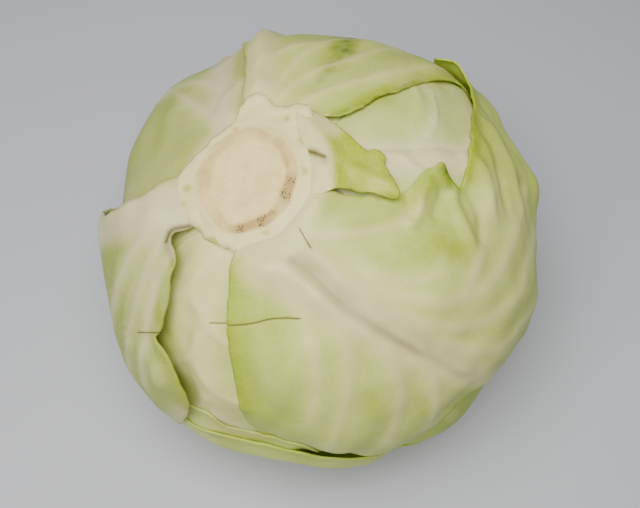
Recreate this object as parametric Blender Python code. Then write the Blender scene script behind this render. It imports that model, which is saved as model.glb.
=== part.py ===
"""A trimmed head of white cabbage at its real size, resting on its crown with its cut stalk up.

Metres, +Z up, origin on the resting surface under the middle of the head. The head leans, so that
its stalk is off the vertical. A place on the head is given as (bearing, reach) in degrees: bearing
runs round the stalk, anticlockwise from above, with 0 towards +X, and reach runs from the stalk
(0) over the widest part (90) to the crown (180).
"""

import math

import bmesh
import bpy
import numpy as np
from mathutils import Vector
from mathutils.bvhtree import BVHTree
from mathutils.geometry import delaunay_2d_cdt

MM = 0.001

# The head
INNER_SEMI_AXES = (91.0 * MM, 93.5 * MM, 82.0 * MM)
# The middle of the head stands off the origin, which is under the middle of the whole outline.
HEAD_CENTRE = np.array([2.9 * MM, 0.8 * MM, 79.5 * MM])
STALK_LEAN = 21.0
STALK_HEADING = 201.0
FOOT_LEVEL = 1.9 * MM
SWELLS = (
    ((104, 60), 3.0 * MM, 26.0 * MM),
    ((12, 88), 2.5 * MM, 24.0 * MM),
    ((180, 62), 1.0 * MM, 24.0 * MM),
    ((-50, 94), 2.2 * MM, 30.0 * MM),
    ((-98, 88), -11.0 * MM, 62.0 * MM),
    ((48, 78), 3.5 * MM, 24.0 * MM),
    ((73, 66), 5.0 * MM, 34.0 * MM),
    ((138, 64), 8.5 * MM, 56.0 * MM),
    ((-126, 93), 6.5 * MM, 48.0 * MM),
)

# The stalk
CUT_HEIGHT = 88.5 * MM
CUT_DISC_RADIUS = 20.8 * MM
COLLAR_SLOPE = 2.0 * MM
COLLAR_DEPTH = 4.0 * MM
STALK_SIDES = 52
# (half angle, height): how the core tapers inside the head, seen from the middle of the head
CORE_STEPS = ((15.3, 79.0 * MM), (14.0, 62.0 * MM), (12.0, 47.0 * MM))
# (reach, radius): the hole that the core stands in
PIT_STEPS = ((0.0, 43.0 * MM), (14.6, 43.5 * MM), (16.6, 66.0 * MM), (18.0, 80.5 * MM))
COLLAR_OUTLINE = (
    (-178, 18.5), (168, 19), (144, 16.5), (125, 16.5), (104, 17), (98, 18.5), (93, 21.5),
    (86, 22.5), (79, 20.5), (70, 20.5), (58, 23), (46, 24.5), (32, 24), (14, 21), (-4, 19),
    (-21, 18), (-41, 17.5), (-58, 17.5), (-76, 17.2), (-92, 16.8), (-110, 16.5), (-130, 16),
    (-146, 16), (-160, 16.5), (-170, 18),
)

# The leaves
BLADE = 1.2 * MM
FOOT_BLADE = 1.0 * MM
GAP = 0.6 * MM
PLAN_RADIUS = 92.0 * MM
SMOOTHING = 9.0 * MM
# Next to the stalk, a leaf rises to the collar over this range of reach.
BASE_RISE = (19.0, 38.0)
EDGE_CURL = 0.7 * MM
EDGE_CURL_WIDTH = 12.0 * MM
EDGE_WAVES = ((47.0 * MM, 1.3 * MM), (29.0 * MM, 0.9 * MM))
WAVES_FROM = 28.0
VEIN_HEIGHT = 1.1 * MM
VEIN_WIDTH = 4.5 * MM
OUTSIDE = 0.3


def stalk_axes():
    """The stalk's direction, and the directions of bearing 0 and 90 across it."""
    lean, heading = math.radians(STALK_LEAN), math.radians(STALK_HEADING)
    out = np.array([math.sin(lean) * math.cos(heading), math.sin(lean) * math.sin(heading), math.cos(lean)])
    right = np.array([1.0, 0.0, 0.0]) - out * out[0]
    right /= np.linalg.norm(right)
    return out, right, np.cross(out, right)


OUT, RIGHT, AWAY = stalk_axes()


def directions(places):
    """Unit vectors from the middle of the head to (bearing, reach) places."""
    bearing, reach = np.radians(np.asarray(places, float)).T
    across = np.cos(bearing)[:, None] * RIGHT + np.sin(bearing)[:, None] * AWAY
    return np.cos(reach)[:, None] * OUT + np.sin(reach)[:, None] * across


def bump(distance, width):
    """A rounded hump: 1 at distance 0, falling to 0 at width."""
    return np.cos(np.clip(np.abs(distance) / width, 0, 1) * math.pi / 2) ** 2


def inner_radius(toward):
    """Distance from the middle to the packed inner leaves' surface, in each direction."""
    radius = 1 / np.sqrt(((toward / INNER_SEMI_AXES) ** 2).sum(1))
    for place, height, width in SWELLS:
        away = np.arccos(np.clip(toward @ directions([place])[0], -1, 1)) * PLAN_RADIUS
        radius = radius + height * bump(away, width)
    down = -toward[:, 2]
    foot = (HEAD_CENTRE[2] - FOOT_LEVEL) / np.maximum(down, 1e-3)
    radius = np.where(down > 0.5, np.minimum(radius, foot), radius)
    reach = np.degrees(np.arccos(np.clip(toward @ OUT, -1, 1)))
    steps = np.array(PIT_STEPS)
    return np.where(reach < steps[-1, 0], np.interp(reach, steps[:, 0], steps[:, 1]), radius)


def material(name, colour, roughness):
    made = bpy.data.materials.new(name)
    made.use_nodes = True
    shader = made.node_tree.nodes["Principled BSDF"]
    shader.inputs["Base Color"].default_value = (*colour, 1.0)
    shader.inputs["Roughness"].default_value = roughness
    made.diffuse_color = (*colour, 1.0)
    return made


def keep(bm, name, group, finish):
    """Makes the bmesh a named object in the cabbage's collection."""
    bmesh.ops.triangulate(bm, faces=bm.faces[:])
    bmesh.ops.recalc_face_normals(bm, faces=bm.faces[:])
    mesh = bpy.data.meshes.new(name)
    bm.to_mesh(mesh)
    bm.free()
    mesh.materials.append(finish)
    mesh.shade_smooth()
    mesh.set_sharp_from_angle(angle=math.radians(40))
    made = bpy.data.objects.new(name, mesh)
    group.objects.link(made)
    return made


def inner_leaves(group, finish):
    """The tightly packed inside of the head: a round body with a pit for the stalk's core."""
    segments, rings = 40, 24
    bm = bmesh.new()
    bmesh.ops.create_uvsphere(bm, u_segments=segments, v_segments=rings, radius=1.0)
    # The sphere's rings are moved so that four of them shape the pit and the rest share what is left.
    pit_reaches = [step[0] for step in PIT_STEPS]
    ring_reaches = pit_reaches + list(np.linspace(23.0, 180.0, rings + 1 - len(pit_reaches)))
    co = np.array([vertex.co for vertex in bm.verts])
    ring = np.round(np.degrees(np.arccos(np.clip(co[:, 2], -1, 1))) / 180 * rings).astype(int)
    bearing = np.degrees(np.arctan2(co[:, 1], co[:, 0]))
    toward = directions(np.stack([bearing, np.array(ring_reaches)[ring]], axis=1))
    places = HEAD_CENTRE + toward * inner_radius(toward)[:, None]
    for vertex, place in zip(bm.verts, places):
        vertex.co = place
    return keep(bm, "packed_inner_leaves", group, finish)


def collar_reach(bearing):
    """How far the cut collar goes out from the stalk's axis at a bearing."""
    points = np.array(sorted(COLLAR_OUTLINE))
    return np.interp(bearing, points[:, 0], points[:, 1], period=360)


def stalk(group, finish):
    """The cut stalk: a flat disc, the uneven collar of cut leaf bases round it, and the core below."""
    bearings = np.linspace(-180, 180, STALK_SIDES, endpoint=False)
    rim_reach = collar_reach(bearings)
    rim_radius = np.tan(np.radians(rim_reach)) * CUT_HEIGHT
    rings = [
        (np.full(STALK_SIDES, CUT_DISC_RADIUS * 0.5), CUT_HEIGHT),
        (np.full(STALK_SIDES, CUT_DISC_RADIUS), CUT_HEIGHT),
        (rim_radius - 1.5 * MM, CUT_HEIGHT - COLLAR_SLOPE * 0.6),
        (rim_radius, CUT_HEIGHT - COLLAR_SLOPE),
        (rim_radius - 0.8 * MM, CUT_HEIGHT - COLLAR_DEPTH),
    ]
    for half_angle, height in CORE_STEPS:
        rings.append((np.full(STALK_SIDES, math.tan(math.radians(half_angle)) * height), height))
    around = np.cos(np.radians(bearings))[:, None] * RIGHT + np.sin(np.radians(bearings))[:, None] * AWAY
    bm = bmesh.new()
    loops = []
    for radius, height in rings:
        circle = bmesh.ops.create_circle(bm, segments=STALK_SIDES, radius=1.0)["verts"]
        for vertex, place in zip(circle, HEAD_CENTRE + OUT * height + around * radius[:, None]):
            vertex.co = place
        loops.append(circle)
    for upper, lower in zip(loops, loops[1:]):
        edges = {edge for loop in (upper, lower) for vertex in loop for edge in vertex.link_edges}
        own = [edge for edge in edges if all(v in upper for v in edge.verts) or all(v in lower for v in edge.verts)]
        bmesh.ops.bridge_loops(bm, edges=own)
    for loop, height in ((loops[0], rings[0][1]), (loops[-1], rings[-1][1])):
        middle = bm.verts.new(Vector(HEAD_CENTRE + OUT * height))
        for first, second in zip(loop, loop[1:] + loop[:1]):
            bm.faces.new((first, second, middle))
    return keep(bm, "stalk", group, finish)


def plan_axes(outline):
    """A leaf's middle direction and two directions across it, for laying its outline out flat."""
    middle = directions(outline).mean(0)
    middle /= np.linalg.norm(middle)
    first = np.cross(AWAY, middle)
    first /= np.linalg.norm(first)
    return middle, first, np.cross(middle, first)


def to_plan(axes, toward):
    """Flat (x, y) places of directions, true to distance from the leaf's middle."""
    middle, first, second = axes
    angle = np.arccos(np.clip(toward @ middle, -1, 1))
    stretch = PLAN_RADIUS * angle / np.maximum(np.sin(angle), 1e-9)
    return np.stack([toward @ first * stretch, toward @ second * stretch], axis=1)


def from_plan(axes, flat):
    middle, first, second = axes
    length = np.linalg.norm(flat, axis=1)
    angle = length / PLAN_RADIUS
    unit = flat / np.maximum(length, 1e-12)[:, None]
    return np.cos(angle)[:, None] * middle + np.sin(angle)[:, None] * (unit[:, :1] * first + unit[:, 1:] * second)


def spaced(points, step, closed=False):
    """The line through the points, cut into even steps of about the given length between its corners."""
    ends = np.roll(points, -1, axis=0) if closed else points[1:]
    out = []
    for start, end in zip(points, ends):
        count = max(1, round(float(np.linalg.norm(end - start)) / step))
        out += [start + (end - start) * k / count for k in range(count)]
    if not closed:
        out.append(points[-1])
    return np.array(out)


def rounded(points):
    """Corners of a hand-placed line cut once by Chaikin's rule, ends kept."""
    cut = [points[0]]
    for start, end in zip(points, points[1:]):
        cut += [0.75 * start + 0.25 * end, 0.25 * start + 0.75 * end]
    return np.array([*cut, points[-1]])


def waved(border, reach):
    """The margin of a leaf, moved in and out a little in slow waves, but not next to the stalk."""
    ahead = np.roll(border, -1, axis=0) - np.roll(border, 1, axis=0)
    outward = np.stack([ahead[:, 1], -ahead[:, 0]], axis=1) / np.linalg.norm(ahead, axis=1)[:, None]
    along = np.concatenate([[0], np.cumsum(np.linalg.norm(np.diff(border, axis=0), axis=1))])
    shift = sum(height * np.sin(2 * math.pi * along / length + length / MM) for length, height in EDGE_WAVES)
    share = np.clip((reach - WAVES_FROM) / 20.0, 0, 1)
    return border + outward * (shift * share)[:, None]


def line_distance(places, line):
    """Distance from each place to the line, and how far along it the nearest point is, from 0 to 1."""
    best = np.full(len(places), np.inf)
    along = np.zeros(len(places))
    lengths = np.linalg.norm(np.diff(line, axis=0), axis=1)
    done = np.concatenate([[0], np.cumsum(lengths)])
    for k, (start, end) in enumerate(zip(line, line[1:])):
        step = end - start
        share = np.clip((places - start) @ step / max(step @ step, 1e-12), 0, 1)
        distance = np.linalg.norm(places - start - share[:, None] * step, axis=1)
        nearer = distance < best
        best = np.where(nearer, distance, best)
        along = np.where(nearer, (done[k] + share * lengths[k]) / done[-1], along)
    return best, along


def inside(places, outline):
    """Which places lie inside the closed outline."""
    hits = np.zeros(len(places), bool)
    for (x0, y0), (x1, y1) in zip(outline, np.roll(outline, -1, axis=0)):
        crosses = (y0 > places[:, 1]) != (y1 > places[:, 1])
        edge_x = (x1 - x0) * (places[:, 1] - y0) / (y1 - y0 if y1 != y0 else 1e-12) + x0
        hits ^= crosses & (places[:, 0] < edge_x)
    return hits


def side_veins(rib, count, length, outline):
    """Side veins leave the rib at a shallow angle on both sides, swing out and stop short of the margin."""
    lengths = np.concatenate([[0], np.cumsum(np.linalg.norm(np.diff(rib, axis=0), axis=1))])
    veins = []
    for k in range(count):
        for side in (1, -1):
            share = (k + 0.6 + 0.22 * side) / (count + 1.2)
            start_at = share * lengths[-1]
            place = np.array([np.interp(start_at, lengths, rib[:, axis]) for axis in (0, 1)])
            ahead = np.array([np.interp(start_at + 2 * MM, lengths, rib[:, axis]) for axis in (0, 1)])
            heading = math.atan2(*(ahead - place)[::-1])
            steps = 8
            line = [place]
            for step in range(steps):
                turn = math.radians(28 + 38 * math.sin(math.pi / 2 * min(1.0, step / 4)))
                turned = heading + side * turn
                line.append(line[-1] + length / steps * np.array([math.cos(turned), math.sin(turned)]))
            line = np.array(line)
            clear = inside(line, outline) & (line_distance(line, np.vstack([outline, outline[:1]]))[0] > 5 * MM)
            stop = len(line) if clear.all() else int(np.argmin(clear))
            if stop > 3:
                veins.append(line[:stop])
    return veins


def fill(border, lines, step):
    """Triangles inside a flat border, with corners on the given lines and an even spread between."""
    picked = [border]
    for line, line_step in lines:
        along = spaced(line, line_step)
        ring = np.vstack([border, border[:1]])
        along = along[inside(along, border) & (line_distance(along, ring)[0] > 0.4 * step)]
        taken = np.vstack(picked)
        apart = np.linalg.norm(along[:, None] - taken[None], axis=2).min(1) > 0.3 * step
        picked.append(along[apart])
    low, high = border.min(0), border.max(0)
    rows = np.arange(low[1], high[1], step * math.sqrt(3) / 2)
    grid = np.array([
        (x + (step / 2 if k % 2 else 0), y) for k, y in enumerate(rows) for x in np.arange(low[0], high[0], step)
    ])
    grid = grid[inside(grid, border)]
    taken = np.vstack(picked)
    apart = np.linalg.norm(grid[:, None] - taken[None], axis=2).min(1) > 0.62 * step
    points = np.vstack([*picked, grid[apart]])
    edges = [(k, (k + 1) % len(border)) for k in range(len(border))]
    filled = delaunay_2d_cdt([Vector(p) for p in points], edges, [], 1, 1e-7)
    return np.array([tuple(p) for p in filled[0]]), [tuple(face) for face in filled[2]]


def covered_radius(under, toward):
    """How far out the pieces laid so far reach in each direction."""
    reached = np.zeros(len(toward))
    for k, way in enumerate(toward):
        hit = under.ray_cast(Vector(HEAD_CENTRE + way * OUTSIDE), Vector(-way))[0]
        reached[k] = np.linalg.norm(np.array(hit) - HEAD_CENTRE)
    return reached


def draped(axes, flat, faces, under, step):
    """The inner surface of a leaf laid over what is already there: clear of it, and smoothed between."""
    ring = [(0.0, 0.0)] + [
        (0.6 * step * math.cos(a), 0.6 * step * math.sin(a)) for a in np.linspace(0, 2 * math.pi, 8, endpoint=False)
    ]
    probes = (flat[:, None] + np.array(ring)[None]).reshape(-1, 2)
    floor = covered_radius(under, from_plan(axes, probes)).reshape(len(flat), -1).max(1)
    pairs = np.array([pair for face in faces for pair in zip(face, face[1:] + face[:1])])
    pairs = np.vstack([pairs, pairs[:, ::-1]])
    count = np.bincount(pairs[:, 0], minlength=len(flat))
    level = floor
    for _ in range(max(2, round((SMOOTHING / step) ** 2))):
        mean = np.bincount(pairs[:, 0], weights=level[pairs[:, 1]], minlength=len(flat)) / count
        level = np.maximum(floor, mean)
    level = level + GAP
    # A flat triangle can still cut through a ridge between its corners, so those corners are raised.
    corners = np.array(faces)
    toward = from_plan(axes, flat)
    parts = 6
    shares = [(i, j, parts - i - j) for i in range(parts + 1) for j in range(parts + 1 - i)]
    for _ in range(4):
        places = toward * level[:, None]
        raise_by = np.zeros(len(flat))
        for share in np.array(shares) / parts:
            inner = (places[corners] * share[None, :, None]).sum(1)
            height = np.linalg.norm(inner, axis=1)
            lack = covered_radius(under, inner / height[:, None]) + 0.7 * GAP - height
            for k in range(3):
                np.maximum.at(raise_by, corners[:, k], lack * (share[k] > 0.1))
        level = level + np.maximum(raise_by, 0)
    # Where the head rests, the leaf is pressed flat.
    down = -toward[:, 2]
    pressed = (HEAD_CENTRE[2] - FOOT_BLADE) / np.maximum(down, 0.5)
    return np.where(down > 0.5, np.minimum(level, pressed), level)


def leaf(spec, group, finish, under):
    """One leaf: its outline filled, draped over what lies under it, ribbed, and thickened outwards."""
    axes = plan_axes(spec["outline"])
    step = spec["step"]
    outline = spaced(to_plan(axes, directions(spec["outline"])), step, closed=True)
    outline = waved(outline, np.degrees(np.arccos(np.clip(from_plan(axes, outline) @ OUT, -1, 1))))
    rib = rounded(to_plan(axes, directions(spec["rib"])))
    veins = side_veins(rib, spec["veins"], spec["vein_length"], outline)
    flanks = []
    across = np.gradient(rib, axis=0)
    across = np.stack([-across[:, 1], across[:, 0]], axis=1) / np.linalg.norm(across, axis=1)[:, None]
    for side in (-1, 1):
        flanks.append(rib + side * across * np.linspace(*spec["rib_width"], len(rib))[:, None] / 2)
    lines = [(rib, step * 0.8), *((flank, step * 0.9) for flank in flanks), *((vein, step * 0.9) for vein in veins)]
    flat, faces = fill(outline, lines, step)
    inner = draped(axes, flat, faces, under, step)
    from_rib, along = line_distance(flat, rib)
    width = np.interp(along, (0, 1), spec["rib_width"]) / 2
    relief = np.interp(along, (0, 0.35, 1), spec["rib_height"]) * bump(from_rib, width * 1.3)
    for vein in veins:
        relief = np.maximum(relief, VEIN_HEIGHT * bump(line_distance(flat, vein)[0], VEIN_WIDTH))
    lift = EDGE_CURL * bump(line_distance(flat, np.vstack([outline, outline[:1]]))[0], EDGE_CURL_WIDTH)
    reach = np.degrees(np.arccos(np.clip(from_plan(axes, flat) @ OUT, -1, 1)))
    lift += spec["base_rise"] * bump(np.maximum(reach - BASE_RISE[0], 0), BASE_RISE[1] - BASE_RISE[0])
    for place, height, width in spec["lifts"]:
        away = np.linalg.norm(flat - to_plan(axes, directions([place]))[0], axis=1)
        lift += height * bump(away, width)
    toward = from_plan(axes, flat)
    inner_places = HEAD_CENTRE + toward * (inner + lift)[:, None]
    outer_places = inner_places + toward * (BLADE + relief)[:, None]
    outer_places[:, 2] = np.maximum(outer_places[:, 2], 0.0)
    bm = bmesh.new()
    corners = [bm.verts.new(place) for place in inner_places]
    blade = [bm.faces.new([corners[k] for k in face]) for face in faces]
    bm.verts.index_update()
    raised = bmesh.ops.extrude_face_region(bm, geom=blade, use_keep_orig=True)
    # The extrusion keeps the order of the corners that it copies.
    copies = sorted((v for v in raised["geom"] if isinstance(v, bmesh.types.BMVert)), key=lambda v: v.index)
    nearest = {tuple(np.round(place, 9)): k for k, place in enumerate(np.array([v.co for v in corners]))}
    for vertex in copies:
        vertex.co = outer_places[nearest[tuple(np.round(vertex.co, 9))]]
    return keep(bm, spec["name"], group, finish)


def tree_of(solids):
    """One search tree of the surfaces of all the solids."""
    corners = []
    faces = []
    for solid in solids:
        faces += [tuple(k + len(corners) for k in polygon.vertices) for polygon in solid.data.polygons]
        corners += [vertex.co for vertex in solid.data.vertices]
    return BVHTree.FromPolygons(corners, faces)


# Leaves from the inside out. Outlines start at the leaf's base by the stalk.
LEAVES = (
    {
        "name": "inner_leaf_right", "base_rise": 1.0 * MM,
        "outline": (
            (40, 25.5), (46, 40), (52, 62), (56, 88), (50, 112), (34, 130), (8, 136), (-16, 128),
            (-32, 108), (-36, 84), (-32, 60), (-22, 38), (-6, 20.5), (16, 22.5),
        ),
        "rib": ((16, 22.5), (11, 31), (8, 42), (9, 58), (10, 80), (10, 105)),
        "rib_width": (17 * MM, 5 * MM), "rib_height": (1.6 * MM, 2.6 * MM, 1.0 * MM),
        "veins": 3, "vein_length": 60 * MM, "lifts": (), "step": 10 * MM,
    },
    {
        "name": "wrapper_leaf_back_left", "base_rise": 0.6 * MM,
        "outline": (
            (96, 19.5), (92, 36), (88, 60), (88, 90), (94, 118), (112, 140), (138, 144), (162, 130),
            (178, 108), (-175, 84), (-172, 60), (-173, 38), (-176, 24), (170, 20.5), (150, 18.5), (120, 18),
        ),
        "rib": ((108, 19), (104, 33), (103, 50), (104, 75), (110, 105), (118, 130)),
        "rib_width": (14 * MM, 5 * MM), "rib_height": (3.0 * MM, 4.0 * MM, 1.4 * MM),
        "veins": 4, "vein_length": 70 * MM, "lifts": (), "step": 10.5 * MM,
    },
    {
        "name": "wrapper_leaf_front_left", "base_rise": 0.8 * MM,
        "outline": (
            (-146, 17.5), (-154, 34), (-156, 58), (-150, 86), (-136, 108), (-112, 116), (-88, 110),
            (-76, 88), (-78, 60), (-84, 38), (-90, 18.5), (-110, 18), (-130, 17.5),
        ),
        "rib": ((-127, 19), (-124, 27), (-119, 36), (-116, 48), (-114, 66), (-112, 90)),
        "rib_width": (20 * MM, 7 * MM), "rib_height": (1.6 * MM, 2.4 * MM, 1.0 * MM),
        "veins": 3, "vein_length": 55 * MM, "lifts": (), "step": 9.5 * MM,
    },
    {
        "name": "wrapper_leaf_back", "base_rise": 1.6 * MM,
        "outline": (
            (98, 22), (99, 31), (101, 50), (108, 70), (113, 95), (108, 122), (92, 142), (66, 146),
            (42, 132), (33, 108), (36, 92), (40, 82), (41, 70), (42, 58), (40, 47), (40, 40), (41, 32),
            (43, 27.5), (54, 25.5), (68, 22.5), (80, 23), (88, 24.5), (95, 24), (97, 20.5),
        ),
        "rib": ((88, 27), (91, 34), (95, 48), (97, 60), (97, 80), (93, 105), (86, 130)),
        "rib_width": (12 * MM, 5 * MM), "rib_height": (3.6 * MM, 4.4 * MM, 1.4 * MM),
        "veins": 4, "vein_length": 72 * MM, "lifts": (((41, 70), 2.0 * MM, 22 * MM),), "step": 9.5 * MM,
    },
    {
        "name": "inner_leaf_front", "base_rise": 0.0,
        "outline": (
            (-56, 24), (-80, 42), (-84, 70), (-78, 92), (-70, 104), (-62, 116), (-48, 126), (-30, 124),
            (-20, 104), (-22, 76), (-28, 50), (-40, 30),
        ),
        "rib": ((-55, 25), (-55, 45), (-55, 70), (-55, 95)),
        "rib_width": (10 * MM, 4 * MM), "rib_height": (0.8 * MM, 1.6 * MM, 0.8 * MM),
        "veins": 2, "vein_length": 45 * MM, "lifts": (((-60, 104), 1.5 * MM, 24 * MM),), "step": 10 * MM,
    },
    {
        "name": "wrapper_leaf_front", "base_rise": 2.6 * MM,
        "outline": (
            (-102, 18.3), (-104, 28), (-104, 38), (-104, 50), (-105, 64), (-105, 78), (-101, 96), (-90, 106),
            (-78, 103), (-68, 94), (-58, 87), (-48, 85.5), (-41, 92), (-34, 108), (-20, 128), (2, 140),
            (26, 140), (46, 128), (58, 108), (60, 92), (55, 82), (52, 77), (47, 78.5), (42, 81), (39, 80),
            (33, 77), (26, 69), (19, 65), (12, 60), (7, 58), (1, 55.5), (4, 50), (1, 46), (-4, 42),
            (-9, 38), (-14, 33), (-16, 27), (-12, 20.5), (-30, 19.5), (-50, 19), (-70, 18.8),
        ),
        "rib": ((-76, 21), (-67, 25), (-59, 34), (-53, 45), (-48, 58), (-45, 72), (-42, 92)),
        "rib_width": (19 * MM, 8 * MM), "rib_height": (4.2 * MM, 5.8 * MM, 2.8 * MM),
        "veins": 5, "vein_length": 84 * MM,
        "lifts": (((47, 80), 4.0 * MM, 14 * MM), ((11, 92), 3.0 * MM, 16 * MM), ((2, 49), 2.0 * MM, 10 * MM)),
        "step": 9.5 * MM,
    },
    {
        "name": "tucked_leaf_crown", "base_rise": 0.0,
        "outline": (
            (-160, 22), (-144, 36), (-131, 52), (-120, 60.5), (-112, 63), (-108, 66.5), (-105, 71), (-98, 72),
            (-89, 71.5), (-84, 77), (-81, 88), (-84, 102), (-100, 114), (-130, 118), (-156, 108),
            (-168, 84), (-170, 50), (-168, 24),
        ),
        "rib": ((-163, 23), (-152, 45), (-140, 66), (-126, 88), (-112, 106)),
        "rib_width": (9 * MM, 4 * MM), "rib_height": (0.0, 0.8 * MM, 0.6 * MM),
        "veins": 2, "vein_length": 50 * MM, "lifts": (), "step": 10 * MM,
    },
    {
        "name": "wrapper_leaf_crown", "base_rise": 0.0,
        "outline": (
            (-168, 21), (-152, 28), (-140, 42), (-130, 54), (-123, 62), (-117, 68), (-111, 73.5),
            (-104, 76.5), (-96, 77.5), (-90, 79.5), (-84, 86), (-79, 92), (-73, 100), (-65, 107), (-48, 111),
            (-24, 117), (2, 126), (30, 130), (60, 124), (92, 130), (120, 124), (150, 124), (172, 110),
            (-178, 88), (-176, 60), (-177, 36), (-178, 24),
        ),
        "rib": ((-172, 21), (-166, 45), (-158, 75), (-150, 105), (-140, 135)),
        "rib_width": (13 * MM, 5 * MM), "rib_height": (0.0, 1.6 * MM, 0.6 * MM),
        "veins": 4, "vein_length": 75 * MM, "lifts": (), "step": 12 * MM,
    },
    {
        "name": "wrapper_leaf_left", "base_rise": 0.0,
        "outline": (
            (-158, 18), (-149, 17.5), (-146, 20), (-141, 22), (-134, 24), (-134, 28), (-130, 33),
            (-129, 43), (-132, 45.5), (-128, 47), (-125, 52), (-121, 58), (-123, 65), (-127, 76),
            (-132, 92), (-144, 108), (-164, 118), (172, 112), (162, 96), (166, 76), (175, 60), (179, 48),
            (-179, 38), (-179, 30), (179, 25), (171, 21), (176, 20.5), (-172, 19.5),
        ),
        "rib": ((-166, 19), (-172, 27), (-178, 38), (179, 50), (176, 68), (176, 95)),
        "rib_width": (19 * MM, 8 * MM), "rib_height": (2.4 * MM, 4.4 * MM, 1.8 * MM),
        "veins": 4, "vein_length": 70 * MM, "lifts": (((180, 58), 1.0 * MM, 18 * MM),), "step": 9 * MM,
    },
    {
        "name": "torn_leaf_base", "base_rise": 0.6 * MM,
        "outline": (
            (46, 26), (38, 27), (21, 29), (7, 32), (6, 35), (-3, 38), (-8, 39.5), (-11, 36),
            (-9, 31), (-12, 26), (-14, 21.5), (-5, 20.5), (6, 22), (20, 23.8), (34, 25.5),
        ),
        "rib": ((24, 25), (12, 27), (2, 31)),
        "rib_width": (10 * MM, 4 * MM), "rib_height": (0.8 * MM, 0.6 * MM, 0.0),
        "veins": 0, "vein_length": 0.0, "lifts": (((-4, 37), 2.0 * MM, 9 * MM),), "step": 5 * MM,
    },
)

for old in list(bpy.data.objects):
    bpy.data.objects.remove(old)
cabbage = bpy.data.collections.new("cabbage")
bpy.context.scene.collection.children.link(cabbage)
stalk_flesh = material("cut_stalk_flesh", (0.72, 0.64, 0.50), 0.55)
inner_blade = material("inner_leaf_blade", (0.62, 0.66, 0.44), 0.5)
outer_blade = material("wrapper_leaf_blade", (0.50, 0.58, 0.27), 0.45)

laid = [inner_leaves(cabbage, inner_blade)]
stalk(cabbage, stalk_flesh)
for spec in LEAVES:
    finish = inner_blade if spec["name"].startswith("inner") else outer_blade
    laid.append(leaf(spec, cabbage, finish, tree_of(laid)))
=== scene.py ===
"""The looks of a trimmed head of white cabbage, lying on its crown with its cut stalk up.

Metres, +Z up. A place on the head is (bearing, reach) in degrees: bearing runs round the stalk,
anticlockwise from above, with 0 towards +X, and reach runs from the stalk (0) over the widest part
(90) to the crown (180).
"""

import math

import bpy
import numpy as np
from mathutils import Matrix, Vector
from mathutils.bvhtree import BVHTree
from mathutils.geometry import delaunay_2d_cdt
from mathutils.kdtree import KDTree


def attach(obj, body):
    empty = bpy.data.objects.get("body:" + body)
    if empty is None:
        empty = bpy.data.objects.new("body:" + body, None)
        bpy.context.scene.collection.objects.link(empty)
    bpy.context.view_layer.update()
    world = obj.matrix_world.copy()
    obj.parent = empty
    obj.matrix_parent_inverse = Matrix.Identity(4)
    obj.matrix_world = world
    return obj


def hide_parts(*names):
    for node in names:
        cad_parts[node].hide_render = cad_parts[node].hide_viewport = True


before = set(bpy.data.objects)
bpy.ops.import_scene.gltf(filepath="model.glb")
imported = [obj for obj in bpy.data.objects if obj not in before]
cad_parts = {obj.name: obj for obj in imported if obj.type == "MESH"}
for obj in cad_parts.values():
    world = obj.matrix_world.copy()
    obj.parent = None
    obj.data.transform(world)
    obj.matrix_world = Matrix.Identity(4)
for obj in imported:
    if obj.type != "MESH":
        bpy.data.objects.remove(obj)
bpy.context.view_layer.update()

# The cut stalk. The fibrous core of the plant, cut square with a knife: a cream disc of pith with a
# tan ring of vessels in it, and round that the white, uneven bases of the leaves that were cut off.
MM = 0.001
HEAD_MIDDLE = np.array([2.9 * MM, 0.8 * MM, 79.5 * MM])
STALK_LEAN = math.radians(21.0)
STALK_HEADING = math.radians(201.0)
CUT_HEIGHT = 88.5 * MM
PITH_RADIUS = 15.8 * MM
VESSEL_RING_RADIUS = 20.4 * MM
# The collar's edge, at places on the head.
COLLAR_OUTLINE = (
    (-178, 20.0), (168, 20.6), (157, 19.0), (144, 17.4), (125, 16.8), (108, 17.2), (103, 18.8), (99, 21.6),
    (94, 23.2), (88, 23.6), (82, 23.0), (77, 21.2), (72, 20.4), (66, 20.8), (60, 22.4), (52, 23), (46, 21.8),
    (38, 20), (24, 18.6), (8, 18.2), (-6, 18), (-18, 18), (-34, 17.6), (-46, 17.4), (-58, 17.4),
    (-76, 17.2), (-88, 17.6), (-98, 18.2), (-108, 16.8), (-118, 17.0), (-130, 17.0), (-146, 17.4),
    (-160, 18.2), (-170, 19.4),
)
COLLAR_HEIGHT = CUT_HEIGHT - 1.4 * MM
COLLAR_DROP = 0.9 * MM
COLLAR_SLOPE = 1.6 * MM
RIM_ROUNDING = 1.2 * MM
JOINED_DROP = 1.1 * MM
VESSEL_RIDGE = 0.25 * MM
# How far below the cut, and how far in from the rim, the collar's under side runs back to the core.
UNDER_COLLAR = CUT_HEIGHT - 3.2 * MM
UNDER_RINGS = ((1.2 * MM, 0.1 * MM), (2.6 * MM, 0.8 * MM), (4.4 * MM, 2.4 * MM))
# The core narrows downwards: its half angle in degrees seen from the head's middle, and the height.
CORE_RINGS = ((15.0, 78.6 * MM), (13.8, 62 * MM), (11.8, 47.5 * MM))
STALK_TURNS = 300
FACE_RINGS = 34
# The bearings at which the front leaf and the torn leaf run on from the collar.
FRONT_BASE = -52
TORN_BASE = 15
STALK_CREAM = "#EBD48C"
STALK_CLOUD = "#E3C982"
STALK_TAN = "#B89A5C"
STALK_WHITE = "#E3D694"
STALK_GREEN = "#B4B04C"
STALK_BROWN = "#3A220A"

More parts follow.
